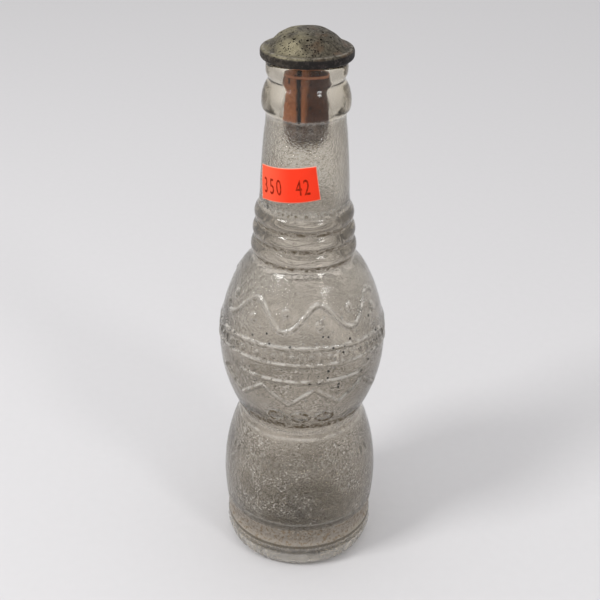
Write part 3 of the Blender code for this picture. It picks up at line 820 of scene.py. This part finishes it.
def band_relief(angles, heights):
    """Upright dashes and dots by turns in the band: 1 on their tops."""
    across = from_nearer_side(angles) * BELLY_RADIUS
    within = repeated(across, BAND_PITCH)
    level = above_band(angles, heights)
    dash = stroke(within, BAND_DASH_HALF_WIDTH) * smooth_step(1.9 * MM, 1.2 * MM, np.abs(level))
    dot = stroke(np.hypot(within, level), BAND_DOT_RADIUS)
    odd = np.round(across / BAND_PITCH).astype(int) % 2 == 1
    return np.where(odd, dot, dash)


def bulb_relief(angles, heights):
    """The row of upright bars on the front and back of the bulb: 1 on their tops."""
    across = from_nearer_side(angles) * BELLY_RADIUS
    level = np.abs(heights - BULB_BAR_HEIGHT)
    bars = stroke(repeated(across, BULB_BAR_PITCH), BULB_BAR_HALF_WIDTH)
    reach = BULB_BAR_COUNT / 2 * BULB_BAR_PITCH
    return bars * smooth_step(1.8 * MM, 1.1 * MM, level) * (np.abs(across) < reach)


def ornament(angles, heights):
    """How far the ornament stands out on the outer glass. It is the same front and back."""
    relief = STROKE_RISE * belly_relief(angles, heights)
    relief += BAND_RISE * band_relief(angles, heights)
    relief += BULB_BAR_RISE * bulb_relief(angles, heights)
    around = repeated(angles, 2 * math.pi / HEEL_COUNT) * HEEL_RADIUS
    relief += HEEL_RISE * stroke(np.hypot(around, heights - HEEL_STUD_HEIGHT), HEEL_STUD_RADIUS)
    beside = smooth_step(math.radians(14), math.radians(30), np.abs(from_nearer_side(angles)))
    on_heel = plateau(heights, 1.0 * MM, 2.2 * MM, 6.6 * MM, 8.2 * MM)
    return relief + HEEL_RIB_RISE * stroke(around, HEEL_STUD_RADIUS) * on_heel * beside


def stipple_share(heights):
    """How strongly the glass is stippled: hardly on the lip, collar, rings, waist and heel."""
    share = np.full_like(heights, 0.06)
    edge = 1.2 * MM
    for low, high, most in (
        (BULB_BOTTOM + 2 * MM, BULB_TOP - 1 * MM, 1.0),
        (BELLY_BOTTOM + 3.0 * MM, LINE_HEIGHTS[1], 0.95),
        (LINE_HEIGHTS[1] - edge, RINGS_BOTTOM - 2.0 * MM, 0.55),
        (RINGS_TOP + 1.5 * MM, NECK_TOP - 0.5 * MM, 0.78),
    ):
        share = np.maximum(share, most * plateau(heights, low, low + edge, high - edge, high))
    return share


def stipple_mask(angles, heights, radii):
    """The stipple in patches, worn smooth most of all on the front and back of the upper belly."""
    share = stipple_share(heights)
    upper = plateau(heights, LINE_HEIGHTS[1], LINE_HEIGHTS[1] + 3 * MM, RINGS_BOTTOM, RINGS_TOP)
    on_neck = smooth_step(RINGS_BOTTOM, RINGS_TOP, heights)
    side = smooth_step(0.50, 0.85, np.abs(np.sin(angles)))
    share = share + (1 - share) * 0.75 * side * upper * (share > 0.3)
    places = np.stack([radii * np.sin(angles), -radii * np.cos(angles), heights], axis=-1) / (11 * MM)
    clouds = [noise.fractal(place, 0.8, 2.0, 3) for place in places.reshape(-1, 3)]
    patches = smooth_step(-0.22, 0.22, np.array(clouds).reshape(share.shape))
    least = 0.45 + 0.30 * on_neck - 0.15 * upper * (1 - side)
    return share * (least + (1 - least) * patches)


def film_and_shade_share(heights):
    """How much a grey-brown film dulls the glass: most on the lower belly, bulb and rings. Its darkening is
    partly painted shade, standing for darker surroundings seen through the glass.
    """
    body = plateau(heights, 4 * MM, 28 * MM, 84 * MM, 112 * MM)
    body -= 0.40 * stroke(heights - BULB_TOP, 6 * MM)
    body -= 0.16 * stroke(heights - 46 * MM, 12 * MM)
    rings = plateau(heights, RINGS_BOTTOM - 2 * MM, RINGS_BOTTOM, RINGS_TOP - 1.0 * MM, RINGS_TOP + 0.5 * MM)
    return np.maximum(body, 0.95 * rings)


def veil_share(heights):
    """How much light a dull veil scatters: some on the rings, and more on the heel."""
    rings = plateau(heights, RINGS_BOTTOM - 3 * MM, RINGS_BOTTOM, RINGS_TOP, RINGS_TOP + 2 * MM)
    return np.maximum(0.20 * rings, 0.36 * plateau(heights, 0.0, 1.5 * MM, 7 * MM, 9 * MM))


def pitted_share(heights):
    """Where the glass is pitted: over the belly, and a little on the bulb."""
    belly = plateau(heights, 74 * MM, 84 * MM, 104 * MM, 116 * MM)
    return np.maximum(belly, 0.35 * plateau(heights, 15 * MM, 20 * MM, 48 * MM, 56 * MM))


def grime_and_shade_share(heights):
    """How much grime may lie at a height outside, in the grooves and low on the bulb, and where painted shade
    darkens the waist.
    """
    share = np.zeros_like(heights)
    spots = [(RINGS_BOTTOM + k * RING_HEIGHT + 0.7 * MM, 1.5 * MM, 1.0) for k in range(4)]
    spots += [
        (RINGS_TOP + 1.4 * MM, 1.3 * MM, 0.60),
        (BULB_BOTTOM - 0.9 * MM, 1.8 * MM, 0.75),
        (BULB_BOTTOM + 2.9 * MM, 8.0 * MM, 0.90),
        # Painted shade: dark lines in the waist and under the belly's lower edge
        (BULB_TOP + 2.0 * MM, 1.2 * MM, 0.55),
        (BELLY_BOTTOM + 2.8 * MM, 2.2 * MM, 1.5),
        (NECK_TOP, 0.8 * MM, 0.40),
    ]
    for level, half_width, most in spots:
        share = np.maximum(share, most * stroke(heights - level, half_width))
    return share


def outer_grime_and_shade(angles, heights, raised, front):
    """The grime outside, with the painted shade at the waist: less low on the back, and more round the loops
    and the band's dashes.
    """
    low_back = (1 - front) * smooth_step(24 * MM, 20 * MM, heights)
    loops = np.clip(1.9 * raised, 0.0, 1.6) * stroke(heights - LOOP_MIDDLE, 5 * MM)
    band = 0.8 * stroke(raised - 0.4, 0.4) * stroke(above_band(angles, heights), 3.4 * MM)
    return np.maximum.reduce([grime_and_shade_share(heights) * (1 - 0.6 * low_back), loops, band])


def inner_shade_and_tide_mark(radii, heights, front):
    """Dark marks inside: painted shade in the middle of the floor, for the dark under the bottle seen through
    it, and a tide mark at the front.
    """
    # Painted shade: the middle of the floor darkened
    stain = smooth_step(10 * MM, 4 * MM, radii) * (heights < 20 * MM)
    tide_mark = stroke(heights - TIDE_MARK_HEIGHT, 2.2 * MM) * (radii > 18 * MM) * front
    return np.maximum(stain, tide_mark)


def facing_light(relief, points, radii, angles):
    """How far the ornament's flanks face up and a little left, towards the light: 1 where steep, and below 0
    facing away. It places the painted highlight and the painted shade.
    """
    levels = points[:, 1] + np.arange(len(points)) * 1e-9
    rise_up = np.gradient(relief, axis=0) / np.gradient(levels)[:, None]
    around = np.maximum(radii, MM) * (angles[1] - angles[0])
    rise_right = (np.roll(relief, -1, axis=1) - np.roll(relief, 1, axis=1)) / (2 * around)
    full_slope = 0.36
    return (0.9 * -rise_up + 0.2 * rise_right) / full_slope


def uneven_wall(points, angles, lip):
    """How far the inner wall, uneven below the neck, stands out at each place."""
    inner = points[lip + 1 :]
    fade = smooth_step(160 * MM, 140 * MM, inner[:, 1:])
    swell = fade * noise_over(inner, angles, 16 * MM) * 0.7 * MM
    return np.vstack([np.zeros((lip + 1, len(angles))), swell])


def make_glass(surface):
    """The bottle in glass, with its ornament, uneven inside, and the masks that its material reads.
    Gives back the outline of its outside."""
    fine = glass_outline()
    top = int(np.argmax(fine[:, 1]))
    points = stations(fine, lambda k: ring_spacing(fine[k, 1], fine[k, 0], k > top))
    points[0, 0] = points[-1, 0] = 0.0
    lip = int(np.argmax(points[:, 1]))
    ring = np.arange(len(points))[:, None]
    inside = ring > lip
    outside = (ring < lip) & (points[:, :1] > np.where(points[:, 1:] < FOOT_EDGE, PUSH_UP_RADIUS, 0.0))

    angles = side_angles(GLASS_SIDES)
    radii, heights = ring_grids(points, GLASS_SIDES)
    normals = outward(points)
    relief = np.where(outside, ornament(angles, heights), 0.0)
    shift = relief + uneven_wall(points, angles, lip)
    new_radii = radii + shift * normals[:, :1]
    new_heights = heights + shift * normals[:, 1:]
    new_radii[0] = new_radii[-1] = 0.0
    mesh = turned_mesh("bottle_glass", new_radii, new_heights)

    front = smooth_step(-0.3, 0.3, np.cos(angles))
    raised = np.clip(relief / (0.45 * MM), 0.0, 1.0)
    facing = facing_light(relief, points, radii, angles)
    # A painted highlight along the top edge of the bulb
    bulb_edge_highlight = 0.7 * stroke(heights - (BULB_TOP - 0.6 * MM), 0.8 * MM)
    # Painted shade: a dark line on the front where the floor of the glass shows through the wall
    painted_floor_shade = stroke(heights - FLOOR_LINE_HEIGHT, 1.9 * MM) * smooth_step(0.55, 0.85, np.cos(angles))
    masks = {
        "outside": 1.0,
        "stipple": stipple_mask(angles, heights, radii),
        "raised": raised,
        # Where highlight and shade are painted on the ornament's flanks, with a highlight along the bulb's top
        # edge
        "painted_highlight_side": np.clip(facing + bulb_edge_highlight, 0.0, 1.0),
        "painted_shade_side": np.clip(-facing, 0.0, 1.0),
        "grime": outer_grime_and_shade(angles, heights, raised, front),
        "residue_and_painted_shade": 0.82 * painted_floor_shade,
        "film": film_and_shade_share(heights),
        "veil": veil_share(heights),
        "pitted": pitted_share(heights),
    }
    masks = {name: np.where(outside, values, 0.0) for name, values in masks.items()}
    masks["residue_and_painted_shade"] = np.where(inside, inner_shade_and_tide_mark(radii, heights, front), masks["residue_and_painted_shade"])
    paint(mesh, new_radii, **masks)
    put("bottle_glass", mesh, surface, "bottle", "bottle")
    return fine[: top + 1]


def hole_pins(skin):
    """A tapered pin for each hole, square to the dome, all in one mesh."""
    pins = bmesh.new()
    step = 0.5 * MM
    for circle, count in ROSE_HOLES:
        level, after = np.interp([circle, circle + step], skin[:, 0], skin[:, 1])
        tilt = Matrix.Rotation(math.atan2(level - after, step), 4, "Y")
        for index in range(count):
            turn = Matrix.Rotation(2 * math.pi * index / count - math.pi / 2, 4, "Z")
            place = turn @ Matrix.Translation((circle, 0, level)) @ tilt
            sizes = {"radius1": HOLE_INNER_RADIUS, "radius2": HOLE_OUTER_RADIUS, "depth": HOLE_PIN_LENGTH}
            bmesh.ops.create_cone(pins, cap_ends=True, segments=16, matrix=place, **sizes)
    mesh = bpy.data.meshes.new("rose_pins")
    pins.to_mesh(mesh)
    pins.free()
    return mesh


def pierce(piece, pins):
    """Cuts the pins out of the piece."""
    cutter = new_object("rose_pins", pins)
    cut = piece.modifiers.new("holes", "BOOLEAN")
    cut.operation = "DIFFERENCE"
    cut.solver = "EXACT"
    cut.object = cutter
    graph = bpy.context.evaluated_depsgraph_get()
    pierced = bpy.data.meshes.new_from_object(piece.evaluated_get(graph))
    piece.modifiers.clear()
    piece.data = pierced
    bpy.data.objects.remove(cutter)
    pierced.shade_smooth()
    pierced.set_sharp_from_angle(angle=math.radians(50))


def make_rose(surface):
    """The rose in fine metal: dented a little, its rim a round bead, and pierced."""
    outline = meridian("sprinkler_rose", math.radians(45))
    if outline[0, 1] < outline[-1, 1]:
        outline = outline[::-1]
    fine = softened(straight(outline, 0.08 * MM), 14)
    points = stations(fine, lambda k: 0.30 * MM)
    points[0, 0] = points[-1, 0] = 0.0
    low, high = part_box("sprinkler_rose")
    radii, heights = ring_grids(points, ROSE_SIDES)
    fade = smooth_step(14.5 * MM, 9 * MM, radii)
    dents = noise_over(points, side_angles(ROSE_SIDES), 7 * MM, squash=0.0) * 0.25 * MM * fade
    heights = np.minimum(heights + dents, high.z)
    mesh = turned_mesh("rose_metal", radii, heights)
    shoulder = low.z + ROSE_RIM_HEIGHT
    crest = high.x - ROSE_TOP_ROUND
    paint(
        mesh,
        radii,
        skirt=smooth_step(shoulder - 0.25 * MM, shoulder - 1.0 * MM, heights) * (radii > crest),
        # The last mask is where a highlight is painted along the bead's crest
        worn_edge=stroke(np.hypot(radii - crest - 0.3 * MM, heights - shoulder), 0.5 * MM),
    )
    piece = put("rose_metal", mesh, surface, "rose", "sprinkler_rose")
    pierce(piece, hole_pins(fine[: int(np.argmax(fine[:, 0]))]))


def make_cork(surface):
    """The cork with pores and chipped edges."""
    low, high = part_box("cork")
    points = worn_loop("cork", 0.1 * MM, 6, 0.42 * MM)
    angles = side_angles(CORK_SIDES)
    radii, heights = ring_grids(points, CORK_SIDES)
    coarse = np.maximum(noise_over(points, angles, 2.6 * MM, squash=0.5) - 0.22, 0.0)
    small = np.maximum(noise_over(points, angles, 0.9 * MM, shift=(7, 3, 1)) - 0.25, 0.0)
    chips = np.maximum(noise_over(points, angles, 2.2 * MM, shift=(2, 9, 4)) - 0.05, 0.0)
    near_foot = smooth_step(3 * MM, 0.5 * MM, heights - low.z)
    bites = (coarse * 0.9 + small * 0.35 + near_foot * chips * 2.2) * MM
    radii = radii - np.where(radii < CORK_WORN_RADIUS, 0.0, bites)
    mesh = turned_mesh("cork_body", radii, heights)
    paint(
        mesh,
        radii,
        foot=smooth_step(NECK_TOP + 0.5 * MM, NECK_TOP - 0.8 * MM, heights),
        # Where shade is painted at the cork's top, under the cap
        head=smooth_step(high.z - 9.0 * MM, high.z - 5.0 * MM, heights),
    )
    put("cork_body", mesh, surface, "cork", "cork")


def make_fitting(node, name, surface, sides):
    """A turned metal piece of the stopper, finer than its CAD node and with its corners worn."""
    radii, heights = ring_grids(worn_loop(node, 0.08 * MM, 8, 0.35 * MM), sides)
    put(name, turned_mesh(name, radii, heights), surface, "rose", node)


def label_corners():
    """The label's corners from its CAD node, as (angle, height): the lower two, then the upper two."""
    flat = [(math.atan2(v.co.x, -v.co.y), v.co.z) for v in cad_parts["price_label"].data.vertices]

    def corner(right, up):
        return np.array(max(flat, key=lambda place: right * place[0] * NECK_MIDDLE_RADIUS + up * place[1]))

    return corner(-1, -1), corner(1, -1), corner(-1, 1), corner(1, 1)


def radius_at(skin, height):
    """The outer radius of the glass at a height on the neck."""
    neck = skin[(skin[:, 1] > RINGS_TOP) & (skin[:, 1] < NECK_TOP)]
    return float(np.interp(height, neck[:, 1], neck[:, 0]))


def label_area(skin):
    """The label's width and height, and a function for the place at shares of them, a rise off the glass."""
    low_left, low_right, top_left, top_right = label_corners()
    width = (low_right[0] - low_left[0]) * NECK_MIDDLE_RADIUS
    height = math.hypot(top_left[1] - low_left[1], (top_left[0] - low_left[0]) * NECK_MIDDLE_RADIUS)

    def place_on(right, up, rise):
        lower = low_left * (1 - right) + low_right * right
        upper = top_left * (1 - right) + top_right * right
        angle, level = lower * (1 - up) + upper * up
        return place_at(radius_at(skin, level) + rise, angle, level)

    return width, height, place_on


def paper_rise(right, up):
    """How far the paper stands off the glass: crinkled, its top right corner and left edge lifting."""
    corner_lift = 0.35 * MM * float(smooth_step(0.30, 0.0, math.hypot((1 - right) * 1.8, 1 - up)))
    left_lift = 0.25 * MM * float(smooth_step(0.06, 0.0, right))
    crinkle = 0.035 * MM * (1 + noise.noise(Vector((right * 9, up * 5, 0))))
    return PAPER_GAP + corner_lift + left_lift + crinkle


def make_paper(place_on, surface):
    """The paper label on the neck, tilted, with a corner just lifting."""
    columns, rows = PAPER_COLUMNS, PAPER_ROWS
    places = []
    cut = []
    for row in range(rows + 1):
        for column in range(columns + 1):
            right, up = column / columns, row / rows
            places.append(place_on(right, up, paper_rise(right, up)))
            cut.append(1.0 if column in (0, columns) or row in (0, rows) else 0.0)
    starts = [row * (columns + 1) + column for row in range(rows) for column in range(columns)]
    faces = [(start, start + 1, start + columns + 2, start + columns + 1) for start in starts]
    mesh = new_mesh("price_label_paper", places, faces)
    mesh.attributes.new("cut", "FLOAT", "POINT").data.foreach_set("value", cut)
    label = put("price_label_paper", mesh, surface, "bottle", "price_label")
    solid = label.modifiers.new("thickness", "SOLIDIFY")
    solid.thickness = PAPER_THICKNESS
    solid.offset = 1


def digit_mesh(digit):
    """A digit's flat mesh in Blender's own font, centred on its middle."""
    curve = bpy.data.curves.new("digit", "FONT")
    curve.body = digit
    curve.size = DIGIT_SIZE
    curve.align_x = "CENTER"
    curve.resolution_u = 6
    flat = new_object("digit", curve)
    graph = bpy.context.evaluated_depsgraph_get()
    mesh = bpy.data.meshes.new_from_object(flat.evaluated_get(graph))
    bpy.data.objects.remove(flat)
    return mesh


def stamp_digit(digit, middle, area, ink):
    """A narrow digit stamped on the label, its middle at a share of the label's width."""
    width, height, place_on = area
    mesh = digit_mesh(digit)
    work = bmesh.new()
    work.from_mesh(mesh)
    bmesh.ops.subdivide_edges(work, edges=work.edges[:], cuts=1, use_grid_fill=False)
    for vertex in work.verts:
        right = middle + vertex.co.x * DIGIT_WIDTH_SHARE / width
        up = DIGIT_FOOT_SHARE + vertex.co.y / height
        vertex.co = Vector(place_on(right, up, PAPER_GAP + PAPER_THICKNESS + 0.11 * MM))
    work.to_mesh(mesh)
    work.free()
    mesh.materials.clear()
    mesh.materials.append(ink)
    stamped = new_object(f"label_digit_{digit}", mesh)
    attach(stamped, "bottle")


def make_label(skin, paper, ink):
    """The paper label with its digits."""
    area = label_area(skin)
    make_paper(area[2], paper)
    for text, middles in DIGIT_GROUPS:
        for digit, middle in zip(text, middles):
            stamp_digit(digit, middle, area, ink)


def make_floor():
    """A plain pale floor."""
    look = new_look("pale_floor")
    tone = look.mix(look.noise(4 * MM, detail=3.0), (0.60, 0.59, 0.595), (0.62, 0.61, 0.615))
    half = FLOOR_HALF_WIDTH
    corners = [(-half, -half, 0), (half, -half, 0), (half, half, 0), (-half, half, 0)]
    mesh = new_mesh("floor", corners, [(0, 1, 2, 3)])
    mesh.materials.append(look.set(Base_Color=tone, Roughness=0.9))
    floor = new_object("floor", mesh)


def make_world():
    """A pale backdrop for the rays that see it, and light mostly from above for the others."""
    world = bpy.data.worlds.new("studio")
    bpy.context.scene.world = world
    look = Look(world)
    up = look.node("ShaderNodeSeparateXYZ", Vector=look.places["Generated"]).outputs["Z"]
    shown = look.gradient(up, (0.52, 0.515, 0.52), (0.74, 0.73, 0.735), 0.5)
    light = look.gradient(up, (0.16, 0.16, 0.17), (1.0, 1.0, 1.01), 0.75)
    rays = look.node("ShaderNodeLightPath").outputs
    sees = look.largest(*(rays[f"Is {kind} Ray"] for kind in ("Camera", "Glossy", "Transmission")))
    look.set("Background", Color=look.mix(sees, light, shown), Strength=1.0)


def make_lamps():
    """Two soft square lamps, turned towards the bottle."""
    for name, place, size, power in LAMPS:
        data = bpy.data.lights.new(name, "AREA")
        data.shape = "SQUARE"
        data.size = size
        data.energy = power
        lamp = new_object(name, data)
        lamp.location = place
        lamp.rotation_euler = (LAMP_TARGET - Vector(place)).to_track_quat("-Z", "Y").to_euler()


def make_camera():
    """The camera that took the photograph."""
    data = bpy.data.cameras.new("photo_camera")
    data.sensor_width = SENSOR_WIDTH
    data.lens = CAMERA_LENS
    data.clip_start = 0.01
    data.clip_end = 50.0
    camera = new_object("photo_camera", data)
    camera.location = CAMERA_PLACE
    level = Euler((math.radians(90) - CAMERA_PITCH, 0, 0)).to_matrix()
    camera.rotation_euler = (level @ Matrix.Rotation(CAMERA_ROLL, 3, "Z")).to_euler()
    bpy.context.scene.camera = camera


make_camera()
make_floor()
make_world()
make_lamps()
glass_skin = make_glass(glass_material())
make_rose(rose_material())
make_cork(cork_material())
pale_metal = plain_metal("dull_brass", (0.50, 0.42, 0.25), (0.16, 0.12, 0.07), 0.35)
dark_metal = plain_metal("tarnished_pan", (0.26, 0.25, 0.19), (0.07, 0.06, 0.05), 0.45)
make_fitting("rose_pan", "pan_metal", dark_metal, 128)
make_fitting("water_tube", "tube_metal", pale_metal, 64)
make_fitting("cork_washer", "washer_metal", pale_metal, 96)
make_label(glass_skin, paper_material(), ink_material())

bpy.context.scene.view_settings.view_transform = "Standard"
